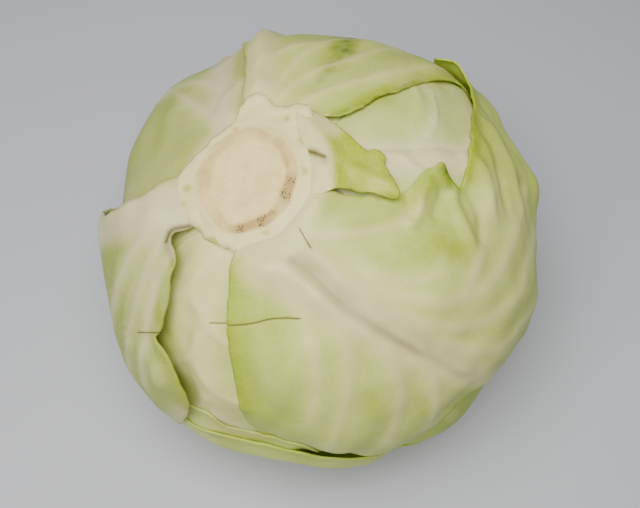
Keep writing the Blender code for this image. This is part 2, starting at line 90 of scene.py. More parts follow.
# The stalk points along OUT. RIGHT and AWAY lie across it.
OUT = np.array([
    math.sin(STALK_LEAN) * math.cos(STALK_HEADING),
    math.sin(STALK_LEAN) * math.sin(STALK_HEADING),
    math.cos(STALK_LEAN),
])
RIGHT = np.array([1.0, 0.0, 0.0]) - OUT * OUT[0]
RIGHT /= np.linalg.norm(RIGHT)
AWAY = np.cross(OUT, RIGHT)


def toward(places):
    """Unit vectors from the middle of the head to (bearing, reach) places."""
    bearing, reach = np.radians(np.asarray(places, float)).T
    across = np.cos(bearing)[:, None] * RIGHT + np.sin(bearing)[:, None] * AWAY
    return np.cos(reach)[:, None] * OUT + np.sin(reach)[:, None] * across


def hump(distance, width):
    """1 at distance 0, falling smoothly to 0 at width."""
    return np.cos(np.clip(np.abs(distance) / width, 0, 1) * math.pi / 2) ** 2


def ramp(value, low, high):
    """0 below low, 1 above high, smooth between."""
    share = np.clip((value - low) / (high - low), 0, 1)
    return share * share * (3 - 2 * share)


def swell(points, length, seed):
    """Smooth made-up unevenness, about -1 to 1, whose hills are about the given length apart."""
    dice = np.random.default_rng(seed)
    total = np.zeros(len(points))
    for _ in range(9):
        way = dice.normal(size=3)
        way /= np.linalg.norm(way)
        pitch = length * dice.uniform(0.75, 1.6)
        total += np.sin(2 * math.pi * (points @ way) / pitch + dice.uniform(0, 2 * math.pi))
    return total / 3


def linear(hex_colour):
    """A Blender colour from sRGB hex."""
    parts = [int(hex_colour[k:k + 2], 16) / 255 for k in (1, 3, 5)]
    return (*(p / 12.92 if p <= 0.04045 else ((p + 0.055) / 1.055) ** 2.4 for p in parts), 1.0)


def set_up(tree, node, settings):
    """Sets a node's properties by name, and its inputs by name or number to a value or a link."""
    for name, value in settings.items():
        if isinstance(name, str) and hasattr(node, name):
            setattr(node, name, value)
        elif isinstance(value, bpy.types.NodeSocket):
            tree.links.new(value, node.inputs[name])
        else:
            node.inputs[name].default_value = value


def add(tree, kind, settings, output=0):
    """Adds a node with its settings and links, and gives one of its outputs."""
    node = tree.nodes.new(kind)
    set_up(tree, node, settings)
    return node.outputs[output]


def finish_of(name):
    """A new material, with its node tree, its shader and the place on the head as a socket."""
    made = bpy.data.materials.new(name)
    made.use_nodes = True
    tree = made.node_tree
    place = add(tree, "ShaderNodeTexCoord", {}, "Object")
    return made, tree, tree.nodes["Principled BSDF"], place


def painted(obj, name, values):
    """Keeps a number for each corner of the mesh, for the material to read."""
    layer = obj.data.attributes.new(name, "FLOAT", "POINT")
    layer.data.foreach_set("value", np.asarray(values, np.float32))


def surface(name, places, faces, material):
    """A smooth-shaded piece from corners and faces."""
    mesh = bpy.data.meshes.new(name)
    mesh.from_pydata([tuple(p) for p in places], [], faces)
    mesh.validate()
    mesh.materials.append(material)
    mesh.shade_smooth()
    made = bpy.data.objects.new(name, mesh)
    bpy.context.scene.collection.objects.link(made)
    return made


def cut_flesh():
    """Freshly cut stalk flesh: dull and moist, so with a broad soft shine, and dotted with cut fibres."""
    made, tree, shader, place = finish_of("cut_stalk_flesh")
    ring, white, brown, green = (
        add(tree, "ShaderNodeAttribute", {"attribute_name": layer}, "Fac")
        for layer in ("vessels", "base_tissue", "browned", "greened")
    )
    # The flesh is clouded in patches of about 6 mm. Vessel ends stand about 0.8 mm apart.
    cloud = add(tree, "ShaderNodeTexNoise", {"Scale": 160.0, "Detail": 3.0, "Vector": place}, "Fac")
    dots = add(tree, "ShaderNodeTexVoronoi", {"Scale": 1200.0, "Vector": place}, "Distance")
    patches, spots = (
        add(tree, "ShaderNodeMapRange",
            {"interpolation_type": "SMOOTHSTEP", "From Min": low, "From Max": high, "Value": value})
        for value, low, high in ((cloud, 0.35, 0.7), (dots, 0.42, 0.12))
    )
    tan = add(tree, "ShaderNodeMath", {"operation": "ADD", 0: 0.35, 1: cloud})
    tan = add(tree, "ShaderNodeMath", {"operation": "MULTIPLY", 0: ring, 1: tan})
    dotted = add(tree, "ShaderNodeMath", {"operation": "MULTIPLY", 0: spots, 1: 2.2})
    dotted = add(tree, "ShaderNodeMath", {"operation": "ADD", 0: 0.22, 1: dotted})
    stain = add(tree, "ShaderNodeMath", {"operation": "MULTIPLY", "use_clamp": True, 0: brown, 1: dotted})
    colour = linear(STALK_CREAM)
    for share, shade in ((patches, STALK_CLOUD), (tan, STALK_TAN), (white, STALK_WHITE),
                         (green, STALK_GREEN), (stain, STALK_BROWN)):
        colour = add(tree, "ShaderNodeMix", {"data_type": "RGBA", 0: share, 6: colour, 7: linear(shade)}, 2)
    height = add(tree, "ShaderNodeMath", {"operation": "MULTIPLY", 0: dots, 1: 0.25})
    height = add(tree, "ShaderNodeMath", {"operation": "ADD", 0: cloud, 1: height})
    bump = {"Strength": 0.35, "Distance": 0.6 * MM, "Height": height}
    set_up(tree, shader, {
        "Base Color": colour, "Roughness": 0.5, "IOR": 1.38, "Subsurface Weight": 0.15,
        "Subsurface Radius": (6 * MM, 4 * MM, 2 * MM), "Subsurface Scale": 0.5,
        "Normal": add(tree, "ShaderNodeBump", bump),
    })
    return made


def stalk_piece():
    """The cut face, its collar and the core below it, as rings round the stalk's axis."""
    bearings = np.linspace(-180, 180, STALK_TURNS, endpoint=False)
    points = np.array(sorted(COLLAR_OUTLINE))
    reach = np.interp(bearings, points[:, 0], points[:, 1], period=360)
    rim = np.tan(np.radians(reach)) * COLLAR_HEIGHT
    across = np.cos(np.radians(bearings))[:, None] * RIGHT + np.sin(np.radians(bearings))[:, None] * AWAY
    round_rim = across * 30 * MM
    rim = rim + 0.35 * MM * swell(round_rim, 9 * MM, 3) + 0.2 * MM * swell(round_rim, 4 * MM, 4)
    front_side = np.cos(np.radians(bearings - FRONT_BASE))
    torn_side = np.cos(np.radians(bearings - TORN_BASE))
    # Towards the front leaf and the torn one the collar runs on into their bases without an edge.
    joined = np.maximum(ramp(front_side, 0.70, 0.80), ramp(torn_side, 0.86, 0.93))
    # The vessels are darkest and brownest on the same side.
    side = ramp(front_side, 0.1, 0.75)
    places = []
    vessels = []
    base = []
    browned = []
    greened = []
    for k in range(FACE_RINGS + 1):
        share = k / FACE_RINGS
        radius = share * rim
        flat = across * radius[:, None]
        # The collar's leaf bases were cut a little lower than the stalk, each at its own height.
        beyond = radius - VESSEL_RING_RADIUS
        out = ramp(radius, VESSEL_RING_RADIUS, VESSEL_RING_RADIUS + 2.5 * MM)
        uneven = 0.5 * MM * swell(flat, 16 * MM, 5)
        drop = out * (COLLAR_DROP + uneven + COLLAR_SLOPE * ramp(beyond, 2 * MM, 10 * MM))
        drop += RIM_ROUNDING * ramp(share, 0.93, 1.0)
        drop += JOINED_DROP * joined * ramp(beyond, 1.5 * MM, 7.0 * MM)
        ridge = VESSEL_RIDGE * hump(radius - (PITH_RADIUS + VESSEL_RING_RADIUS) / 2, 2.4 * MM)
        rough = 0.12 * MM * swell(flat, 5 * MM, 6) + 0.06 * MM * swell(flat, 2.2 * MM, 7)
        height = CUT_HEIGHT - drop + ridge * (1 + swell(flat, 6 * MM, 8)) / 2 + rough
        places.append(HEAD_MIDDLE + OUT * height[:, None] + flat)
        wavering = radius + 0.7 * MM * swell(flat, 14 * MM, 9)
        band = ramp(wavering, PITH_RADIUS - 0.6 * MM, PITH_RADIUS + 1.2 * MM)
        band *= 1 - ramp(wavering, VESSEL_RING_RADIUS - 0.6 * MM, VESSEL_RING_RADIUS + 0.8 * MM)
        base.append(ramp(wavering, VESSEL_RING_RADIUS - 0.4 * MM, VESSEL_RING_RADIUS + 1.2 * MM))
        vessels.append(band * (0.55 + 0.45 * side + 0.25 * swell(flat, 12 * MM, 12)))
        browned.append(band * side * ramp(swell(flat, 7 * MM, 10), -0.1, 0.8))
        greened.append(out * ramp(swell(flat, 7 * MM, 11), 0.6, 1.3) * 0.8)
    for drop, inset in UNDER_RINGS:
        radius = rim - inset
        places.append(HEAD_MIDDLE + OUT * (UNDER_COLLAR - drop) + across * radius[:, None])
    for half_angle, height in CORE_RINGS:
        radius = math.tan(math.radians(half_angle)) * height
        places.append(HEAD_MIDDLE + OUT * height + across * radius)
    below_face = len(UNDER_RINGS) + len(CORE_RINGS)
    for values, shade in ((vessels, 0.0), (base, 1.0), (browned, 0.0), (greened, 0.0)):
        values += [np.full(STALK_TURNS, shade)] * below_face
    rows = len(places)
    faces = []
    for row in range(1, rows - 1):
        for k in range(STALK_TURNS):
            first, second = row * STALK_TURNS + k, row * STALK_TURNS + (k + 1) % STALK_TURNS
            faces.append((first, first + STALK_TURNS, second + STALK_TURNS, second))
    places = np.vstack(places)
    faces += [(0, STALK_TURNS + k, STALK_TURNS + (k + 1) % STALK_TURNS) for k in range(STALK_TURNS)]
    last = (rows - 1) * STALK_TURNS
    faces.append(tuple(range(last + STALK_TURNS - 1, last - 1, -1)))
    made = surface("cut_stalk", places, faces, cut_flesh())
    shades = {"vessels": vessels, "base_tissue": base, "browned": browned, "greened": greened}
    for name, values in shades.items():
        painted(made, name, np.concatenate(values))
    # The middle ring's corners all lie on the axis, so they are joined into one.
    weld = made.modifiers.new("joined_middle", "WELD")
    weld.merge_threshold = 0.02 * MM
    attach(made, "root")
    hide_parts("stalk")


stalk_piece()

# The leaves. Each is one thin waxy blade that grew folded over the one inside it, stiffened by a white
# midrib with side veins that stand out on the outer face. They hold on by their bases, at the stalk.
PLAN_RADIUS = 92.0 * MM
BLADE = 0.9 * MM
GAP_BETWEEN_LEAVES = 0.12 * MM
VEIN_HEIGHT = 0.75 * MM
TWIG_HEIGHT = 0.28 * MM
TWIG_WIDTH = 1.5 * MM
TWIG_PITCH = 9 * MM
TWIG_LENGTH = 16 * MM
# Veins die away over this distance from the margin, and the margin itself bends down over the next.
VEIN_END = 6 * MM
BENT_MARGIN = 14 * MM
ROLLED_EDGE = 5 * MM
# Under the head, where a leaf faces down by more than the first share, it is pressed flat.
PRESSED_FROM, PRESSED_WHOLLY = 0.5, 0.75
# Looked for from this far out, which is clear of the head on every side.
FAR_OUT = 0.3
LEAF_PALE = "#C8D274"
LEAF_GREEN = "#9DB016"
# Dark green: the leaves' own bruises, and painted shade in folds and under edges.
LEAF_DARK_GREEN_AND_SHADE = "#5F7404"
LEAF_RIB = "#D6D08C"
# Grey tan: real stains, and painted shade in grooves and round slits.
LEAF_STAIN_AND_SHADE = "#A3946A"
# Dark olive: real scratches, and painted shadow lines in slits.
LEAF_SCRATCH_AND_SHADE_LINE = "#57520F"
# The leaves laid so far, from the inside out.
laid = []


def plan_axes(outline):
    """A leaf's middle direction and two across it, for laying the leaf out flat."""
    middle = toward(outline).mean(0)
    middle /= np.linalg.norm(middle)
    first = np.cross(AWAY, middle)
    first /= np.linalg.norm(first)
    return middle, first, np.cross(middle, first)


def to_plan(axes, ways):
    """Directions from the head's middle laid out flat, with lengths from the leaf's middle kept."""
    middle, first, second = axes
    angle = np.arccos(np.clip(ways @ middle, -1, 1))
    stretch = PLAN_RADIUS * angle / np.maximum(np.sin(angle), 1e-9)
    return np.stack([ways @ first * stretch, ways @ second * stretch], axis=1)


def from_plan(axes, flat):
    """The directions that flat places came from."""
    middle, first, second = axes
    length = np.linalg.norm(flat, axis=1)
    angle = length / PLAN_RADIUS
    unit = flat / np.maximum(length, 1e-12)[:, None]
    sideways = unit[:, :1] * first + unit[:, 1:] * second
    return np.cos(angle)[:, None] * middle + np.sin(angle)[:, None] * sideways


def spaced(points, step, closed=False):
    """The line through the points, cut into even steps of about the given length."""
    ends = np.roll(points, -1, axis=0) if closed else points[1:]
    out = []
    for start, end in zip(points, ends):
        count = max(1, round(float(np.linalg.norm(end - start)) / step))
        out += [start + (end - start) * k / count for k in range(count)]
    if not closed:
        out.append(points[-1])
    return np.array(out)


def rounded(points, closed=False, times=2):
    """A listed line with its corners cut, ends kept."""
    for _ in range(times):
        ends = np.roll(points, -1, axis=0) if closed else points[1:]
        starts = points if closed else points[:-1]
        cut = np.empty((2 * len(starts), 2))
        cut[0::2] = 0.75 * starts + 0.25 * ends
        cut[1::2] = 0.25 * starts + 0.75 * ends
        points = cut if closed else np.vstack([points[:1], cut, points[-1:]])
    return points


def line_distance(places, line):
    """Distance to the line, the share of its length at the nearest point, and which side that is on."""
    best = np.full(len(places), np.inf)
    along = np.zeros(len(places))
    side = np.ones(len(places))
    lengths = np.linalg.norm(np.diff(line, axis=0), axis=1)
    done = np.concatenate([[0], np.cumsum(lengths)])
    for k, (start, end) in enumerate(zip(line, line[1:])):
        step = end - start
        off = places - start
        share = np.clip(off @ step / max(step @ step, 1e-12), 0, 1)
        distance = np.linalg.norm(off - share[:, None] * step, axis=1)
        nearer = distance < best
        best = np.where(nearer, distance, best)
        along = np.where(nearer, (done[k] + share * lengths[k]) / done[-1], along)
        side = np.where(nearer, np.sign(step[0] * off[:, 1] - step[1] * off[:, 0]), side)
    return best, along, side


def inside(places, outline):
    """Which flat places lie inside a closed outline."""
    hits = np.zeros(len(places), bool)
    for (x0, y0), (x1, y1) in zip(outline, np.roll(outline, -1, axis=0)):
        crosses = (y0 > places[:, 1]) != (y1 > places[:, 1])
        edge_x = (x1 - x0) * (places[:, 1] - y0) / (y1 - y0 if y1 != y0 else 1e-12) + x0
        hits ^= crosses & (places[:, 0] < edge_x)
    return hits


def clear_of(points, taken, gap):
    """Which points keep more than the gap from the points already taken."""
    tree = KDTree(len(taken))
    for k, (x, y) in enumerate(taken):
        tree.insert((x, y, 0), k)
    tree.balance()
    return np.array([tree.find((x, y, 0))[2] > gap for x, y in points], bool)


def fill(border, lines, step):
    """Triangles inside a flat border, with corners on the given lines and an even spread between."""
    picked = [border]
    for line, line_step in lines:
        along = spaced(line, line_step)
        along = along[inside(along, border)]
        if len(along):
            picked.append(along[clear_of(along, np.vstack(picked), 0.7 * line_step)])
    low, high = border.min(0), border.max(0)
    rows = np.arange(low[1], high[1], step * math.sqrt(3) / 2)
    across = np.arange(low[0], high[0], step)
    grid = np.vstack([np.stack([across + (step / 2 if k % 2 else 0), np.full(len(across), y)], axis=1)
                      for k, y in enumerate(rows)])
    grid = grid[inside(grid, border)]
    taken = np.vstack(picked)
    points = np.vstack([taken, grid[clear_of(grid, taken, 0.6 * step)]])
    edges = [(k, (k + 1) % len(border)) for k in range(len(border))]
    filled = delaunay_2d_cdt([Vector(p) for p in points], edges, [], 1, 1e-7)
    points = np.array([tuple(p) for p in filled[0]])
    faces = np.array([tuple(face) for face in filled[2]])
    first = points[faces[:, 1]] - points[faces[:, 0]]
    second = points[faces[:, 2]] - points[faces[:, 0]]
    backward = first[:, 0] * second[:, 1] < first[:, 1] * second[:, 0]
    faces[backward] = faces[backward][:, ::-1]
    return points, faces


def ragged(border, axes, amount, seed):
    """The margin with small uneven nibbles, as a leaf's edge or a tear has."""
    ahead = np.roll(border, -1, axis=0) - np.roll(border, 1, axis=0)
    outward = np.stack([ahead[:, 1], -ahead[:, 0]], axis=1) / np.linalg.norm(ahead, axis=1)[:, None]
    ways = from_plan(axes, border) * PLAN_RADIUS
    shift = 0.55 * swell(ways, 26 * MM, seed) + 0.35 * swell(ways, 10 * MM, seed + 1)
    shift += 0.2 * swell(ways, 4 * MM, seed + 2)
    reach = np.degrees(np.arccos(np.clip(from_plan(axes, border) @ OUT, -1, 1)))
    return border + outward * (amount * shift * ramp(reach, 21, 30))[:, None]


def grown_veins(rib, count, length, outline):
    """Side veins leave the rib at a shallow angle, swing out and stop short of the margin."""
    lengths = np.concatenate([[0], np.cumsum(np.linalg.norm(np.diff(rib, axis=0), axis=1))])
    veins = []
    for k in range(count):
        for side in (1, -1):
            start_at = (k + 0.6 + 0.22 * side) / (count + 1.2) * lengths[-1]
            place = np.array([np.interp(start_at, lengths, rib[:, axis]) for axis in (0, 1)])
            ahead = np.array([np.interp(start_at + 2 * MM, lengths, rib[:, axis]) for axis in (0, 1)])
            heading = math.atan2(*(ahead - place)[::-1])
            line = [place]
            for step in range(10):
                turned = heading + side * math.radians(28 + 38 * math.sin(math.pi / 2 * min(1.0, step / 5)))
                line.append(line[-1] + length / 10 * np.array([math.cos(turned), math.sin(turned)]))
            line = np.array(line)
            clear = inside(line, outline)
            stop = len(line) if clear.all() else int(np.argmin(clear))
            if stop > 3:
                veins.append(line[:stop])
    return veins


def branched(veins, pitch, length, seed):
    """Finer veins that fork off on both sides of each vein."""
    dice = np.random.default_rng(seed)
    twigs = []
    for vein in veins:
        line = spaced(vein, pitch)
        for k in range(1, len(line) - 1):
            heading = math.atan2(*(line[k + 1] - line[k])[::-1])
            for side in (1, -1):
                angle = heading + side * math.radians(dice.uniform(42, 62))
                reach = length * dice.uniform(0.6, 1.25)
                shift = dice.uniform(-0.3, 0.3) * pitch
                twig = [line[k] + shift * np.array([math.cos(heading), math.sin(heading)])]
                for _ in range(4):
                    angle -= side * math.radians(dice.uniform(-4, 14))
                    twig.append(twig[-1] + reach / 4 * np.array([math.cos(angle), math.sin(angle)]))
                twigs.append(np.array(twig))
    return twigs


def cast(tree, ways):
    """How far out the tree's surface lies in each direction, or 0 where there is none."""
    out = np.zeros(len(ways))
    for k, way in enumerate(ways):
        hit = tree.ray_cast(Vector(HEAD_MIDDLE + way * FAR_OUT), Vector(-way), FAR_OUT)[0]
        if hit is not None:
            out[k] = np.linalg.norm(np.array(hit) - HEAD_MIDDLE)
    return out


class Web:
    """A leaf's corners and which are neighbours, for smoothing numbers over the leaf."""

    def __init__(self, faces, count):
        pairs = np.vstack([faces[:, [0, 1]], faces[:, [1, 2]], faces[:, [2, 0]]])
        self.pairs = np.vstack([pairs, pairs[:, ::-1]])
        self.size = count
        self.count = np.maximum(np.bincount(self.pairs[:, 0], minlength=count), 1)

    def mean(self, values):
        """The mean over each corner's neighbours."""
        total = np.bincount(self.pairs[:, 0], weights=values[self.pairs[:, 1]], minlength=self.size)
        return total / self.count

    def smooth(self, values, times, share=0.6):
        """The values, moved a share of the way to their neighbours' mean, a number of times."""
        for _ in range(times):
            values = (1 - share) * values + share * self.mean(values)
        return values


def blade_finish(name, pale=LEAF_PALE, green=LEAF_GREEN, deep=LEAF_DARK_GREEN_AND_SHADE, rib=LEAF_RIB):
    """Living cabbage leaf: a soft waxy shine over pale flesh, with light coming a little through it."""
    # The blade is clouded in patches of about 22 mm and mottled in specks of about 4 mm.
    made, tree, shader, place = finish_of(name)
    read = {layer: add(tree, "ShaderNodeAttribute", {"attribute_name": layer}, "Fac")
            for layer in ("rib", "vein", "green", "deep", "stain", "mark")}
    # The blade is clouded in patches of about 22 mm and mottled in specks of about 4 mm.
    broad = add(tree, "ShaderNodeTexNoise", {"Scale": 45.0, "Detail": 3.0, "Vector": place}, "Fac")
    fine = add(tree, "ShaderNodeTexNoise", {"Scale": 260.0, "Detail": 4.0, "Vector": place}, "Fac")
    # The net of smallest veins has meshes about 4 mm across, with bent sides.
    bend = add(tree, "ShaderNodeTexNoise", {"Scale": 140.0, "Detail": 1.0, "Vector": place}, "Color")
    bent = add(tree, "ShaderNodeVectorMath",
               {"operation": "MULTIPLY_ADD", 0: bend, 1: (4 * MM, 4 * MM, 4 * MM), 2: place})
    cells = add(tree, "ShaderNodeTexVoronoi",
                {"feature": "DISTANCE_TO_EDGE", "Scale": 230.0, "Vector": bent}, "Distance")
    net, specks = (
        add(tree, "ShaderNodeMapRange",
            {"interpolation_type": "SMOOTHSTEP", "From Min": low, "From Max": high, "Value": value})
        for value, low, high in ((cells, 0.12, 0.0), (fine, 0.5, 0.75))
    )
    cloud = add(tree, "ShaderNodeMath", {"operation": "SUBTRACT", 0: broad, 1: 0.5})
    cloud = add(tree, "ShaderNodeMath", {"operation": "MULTIPLY", 0: cloud, 1: 0.5})
    tone = add(tree, "ShaderNodeMath", {"operation": "ADD", 0: read["green"], 1: cloud})
    colour = linear(pale)
    for where, strength, shade in (
            (tone, 1.0, green), (read["deep"], 1.0, deep), (specks, 0.16, green), (net, 0.12, pale),
            (read["vein"], 0.75, rib), (read["rib"], 1.0, rib), (read["stain"], 0.7, LEAF_STAIN_AND_SHADE),
            (read["mark"], 1.0, LEAF_SCRATCH_AND_SHADE_LINE)):
        share = add(tree, "ShaderNodeMath", {"operation": "MULTIPLY", 0: where, 1: strength})
        colour = add(tree, "ShaderNodeMix", {"data_type": "RGBA", 0: share, 6: colour, 7: linear(shade)}, 2)
    rough = add(tree, "ShaderNodeMath", {"operation": "MULTIPLY", 0: fine, 1: 0.16})
    rough = add(tree, "ShaderNodeMath", {"operation": "ADD", 0: 0.42, 1: rough})
    height, raised = (add(tree, "ShaderNodeMath", {"operation": "MULTIPLY", 0: value, 1: share})
                      for value, share in ((net, 0.35), (fine, 0.5)))
    height = add(tree, "ShaderNodeMath", {"operation": "ADD", 0: height, 1: raised})
    bump = {"Strength": 0.2, "Distance": 0.4 * MM, "Height": height}
    set_up(tree, shader, {
        "Base Color": colour, "Roughness": rough, "IOR": 1.42, "Subsurface Weight": 0.2,
        "Subsurface Radius": (6 * MM, 7 * MM, 2.5 * MM), "Subsurface Scale": 0.5,
        "Normal": add(tree, "ShaderNodeBump", bump),
    })
    return made


def leaf(node, outline, rib, rib_width, material, seed, rib_relief=(), veins=(), grown=0, vein_length=70,
         vein_widths=(3.6, 1.8), creases=(), lifts=(), greens=(), dark_greens_and_shade=(), stains_and_shade=(), scratches_and_shade_lines=(), whites=(),
         margin_green=0.0, margin_width=20, hug=2.4, roll=0.0, ragged_by=0.7, step=1.3, waves=0.5, corners=2,
         rib_white=1.0, tissue=0.4, flush=None, cream=(18, 30)):
    """One leaf over its solid: its outline filled, laid on the solid's outer face, veined and thickened.

    Lines and spots are places on the head, and sizes are in millimetres. rib_relief lists (place across
    the rib in half widths, height, spread in half widths), creases and marks (line, height or depth,
    width), lifts (place, height, width), and greens, deeps, stains and whites (place or line, strength,
    width). grown is how many pairs of side veins are grown besides those listed. hug is how far the
    margin bends down, and roll how far its rim turns up again. flush is (reach up to which the base was
    cut level with the stalk, reach from which it is free, depth below the cut). cream is the reach at
    which the white of the base starts to fade, and where it has gone.
    """
    step, waves, hug, roll = step * MM, waves * MM, hug * MM, roll * MM
    axes = plan_axes(outline)

    def flat_line(places, times=2):
        """A line of places on the head, laid flat and rounded."""
        return rounded(to_plan(axes, toward(places)), times=times)

    def from_place(place):
        """How far each corner lies from a place on the head."""
        return np.linalg.norm(flat - to_plan(axes, toward([place]))[0], axis=1)

    border = spaced(rounded(to_plan(axes, toward(outline)), closed=True, times=corners), step, closed=True)
    border = ragged(border, axes, ragged_by * MM, seed)
    spine = flat_line(rib)
    side_veins = [flat_line(vein) for vein in veins] + grown_veins(spine, grown, vein_length * MM, border)
    twigs = branched(side_veins, TWIG_PITCH, TWIG_LENGTH, seed)
    crease_lines = [(flat_line(line), height * MM, width * MM) for line, height, width in creases]
    scratch_and_shade_lines = [(flat_line(line, 1), depth * MM, width * MM) for line, depth, width in scratches_and_shade_lines]
    # Scratches and painted shadow lines are finer than the rest, so each gets three rows of corners of its
    # own.
    rows = []
    for line, _, wide in scratch_and_shade_lines:
        across = np.gradient(line, axis=0)
        across = np.stack([-across[:, 1], across[:, 0]], axis=1) / np.linalg.norm(across, axis=1)[:, None]
        rows += [(line + across * wide * shift, 0.5 * MM) for shift in (0.0, -1.0, 1.0)]
    flat, faces = fill(border, rows, step)
    web = Web(faces, len(flat))
    ways = from_plan(axes, flat)
    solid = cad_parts[node]
    shape = BVHTree.FromPolygons([solid.matrix_world @ v.co for v in solid.data.vertices],
                                 [tuple(p.vertices) for p in solid.data.polygons])
    level = cast(shape, ways)
    # Where the leaf reaches past its solid, its height is carried on from the corners beside.
    known = level > 0
    level[~known] = level[known].mean()
    for _ in range(60):
        level = np.where(known, level, web.mean(level))
    # The solid's facets are smoothed away, over the same distance whatever the step.
    level = web.smooth(level, round(2 * (3.2 * MM / step) ** 2))

    from_edge = line_distance(flat, np.vstack([border, border[:1]]))[0]
    from_rib, along, side = line_distance(flat, spine)
    width = np.interp(along, (0, 1), np.array(rib_width) * MM) / 2
    across = from_rib * side / width
    relief = np.zeros(len(flat))
    for centre, height, spread in rib_relief:
        relief += height * MM * hump(across - centre, spread)
    vein_share = np.zeros(len(flat))
    beside_vein = np.zeros(len(flat))
    for line in side_veins:
        distance, run, _ = line_distance(flat, line)
        wide = np.interp(run, (0, 1), np.array(vein_widths) * MM)
        value = hump(distance, wide) * np.interp(run, (0, 1), (1.0, 0.55))
        vein_share = np.maximum(vein_share, value)
        value = hump(distance, 2.6 * wide) * np.interp(run, (0, 1), (0.9, 0.5))
        beside_vein = np.maximum(beside_vein, value)
    twig_share = np.zeros(len(flat))
    for line in twigs:
        low, high = line.min(0) - 2 * TWIG_WIDTH, line.max(0) + 2 * TWIG_WIDTH
        near = np.flatnonzero(((flat > low) & (flat < high)).all(1))
        if len(near):
            distance, run, _ = line_distance(flat[near], line)
            value = hump(distance, TWIG_WIDTH) * np.interp(run, (0, 1), (0.6, 0.15))
            twig_share[near] = np.maximum(twig_share[near], value)
    edge_fade = ramp(from_edge, 0.0, VEIN_END)
    relief += VEIN_HEIGHT * vein_share * edge_fade + TWIG_HEIGHT * twig_share * edge_fade
    for line, height, wide in crease_lines:
        distance, run, _ = line_distance(flat, line)
        relief += height * hump(distance, wide) * np.interp(run, (0, 0.15, 0.85, 1), (0.0, 1, 1, 0.0))
    scratched_and_shaded = np.zeros(len(flat))
    for line, depth, wide in scratch_and_shade_lines:
        distance = line_distance(flat, line)[0]
        relief -= depth * hump(distance, wide)
        scratched_and_shaded = np.maximum(scratched_and_shaded, hump(distance, wide))
    for place, height, wide in lifts:
        relief += height * MM * hump(from_place(place), wide * MM)
    on_ball = ways * PLAN_RADIUS
    relief += waves * (0.7 * swell(on_ball, 34 * MM, seed + 20) + 0.35 * swell(on_ball, 13 * MM, seed + 21))
    # The margin lies close on the leaf below, and its rim may turn up again.
    relief -= hug * hump(from_edge, BENT_MARGIN)
    relief += roll * hump(from_edge - 2 * MM, ROLLED_EDGE) * (0.8 + 0.4 * swell(on_ball, 22 * MM, seed + 22))
    # Under the head the leaf is pressed flat, so it keeps to the solid there.
    down = -ways[:, 2]
    relief *= 1 - ramp(down, PRESSED_FROM, PRESSED_WHOLLY)
    reach = np.degrees(np.arccos(np.clip(ways @ OUT, -1, 1)))
    if flush:
        # This leaf's base was cut level with the stalk, and its edge there dives under the collar.
        near, far, depth = flush
        sunk = depth * MM + 2.0 * MM * (1 - ramp(from_edge, 0, 5 * MM)) * (1 - ramp(reach, 19, 22))
        cut = (CUT_HEIGHT - sunk) / np.cos(np.radians(reach))
        level = cut + (level + relief - cut) * ramp(reach, near, far)
    else:
        level = level + relief

    # Where the leaf would cut into one that it lies on, it is pushed out clear of it.
    if laid:
        below = BVHTree.FromPolygons(*merged(laid))
        least = cast(below, ways) + BLADE + GAP_BETWEEN_LEAVES
        if flush:
            least -= 6 * MM * (1 - ramp(reach, near, near + 0.6 * (far - near)))
        for _ in range(3):
            level = np.maximum(level, least)
            level = np.maximum(web.smooth(level, 1, 0.5), least)
    # Nothing goes under the floor on which the head rests.
    level = np.minimum(level, HEAD_MIDDLE[2] / np.maximum(down, 0.1))
    places = HEAD_MIDDLE + ways * level[:, None]
    made = surface("leaf_" + node.replace("_leaf", "").replace("leaf_", ""), places,
                   [tuple(face) for face in faces], material)
    thick = made.modifiers.new("blade", "SOLIDIFY")
    thick.thickness = BLADE
    thick.offset = -1.0
    laid.append(made)

    def spots(listed):
        """Soft patches, each round a place or along a line of places."""
        total = np.zeros(len(flat))
        for places, strength, wide in listed:
            if isinstance(places[0], tuple):
                away = line_distance(flat, flat_line(places))[0]
            else:
                away = from_place(places)
            total = np.maximum(total, strength * hump(away, wide * MM))
        return total

    near_rib = np.maximum(0, 1 - from_rib / (width * 1.7))
    white = rib_white * ramp(near_rib, 0.0, 0.75) * np.interp(along, (0, 0.75, 1), (1, 0.9, 0.45))
    white = np.maximum(np.maximum(white, spots(whites)), 1 - ramp(reach, *cream))
    between_veins = (1 - beside_vein) * ramp(from_rib, 0.5 * width, 1.9 * width)
    green = np.maximum(spots(greens), tissue * between_veins)
    green = green * (1 - 0.35 * beside_vein) + margin_green * hump(from_edge, margin_width * MM)
    green += 0.13 * swell(on_ball, 30 * MM, seed + 30)
    deep = spots(dark_greens_and_shade) * (0.85 + 0.3 * swell(on_ball, 8 * MM, seed + 31))
    painted(made, "rib", np.clip(white, 0, 1))
    painted(made, "vein", np.clip(np.maximum(vein_share, 0.6 * twig_share), 0, 1))
    painted(made, "green", np.clip(green, 0, 1))
    # This layer holds the leaf's own dark green, and painted shade in folds, slits and under edges.
    painted(made, "deep", np.clip(deep, 0, 1))
    # The stain layer holds real stains, and painted shade in grooves and round slits.
    painted(made, "stain", np.clip(spots(stains_and_shade), 0, 1))
    # This layer holds real scratches, and painted shadow lines in slits and under a notch.
    painted(made, "mark", np.clip(scratched_and_shaded, 0, 1))
    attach(made, "root")
    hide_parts(node)


def merged(pieces):
    """The corners and faces of several meshes as one."""
    corners = []
    faces = []
    for piece in pieces:
        start = len(corners)
        faces += [tuple(k + start for k in polygon.vertices) for polygon in piece.data.polygons]
        corners += [vertex.co.copy() for vertex in piece.data.vertices]
    return corners, faces


inner_blade = blade_finish("inner_leaf_blade", pale="#D3DA86", green="#B2C246", rib="#DFDA9E")
wrapper_blade = blade_finish("wrapper_leaf_blade")
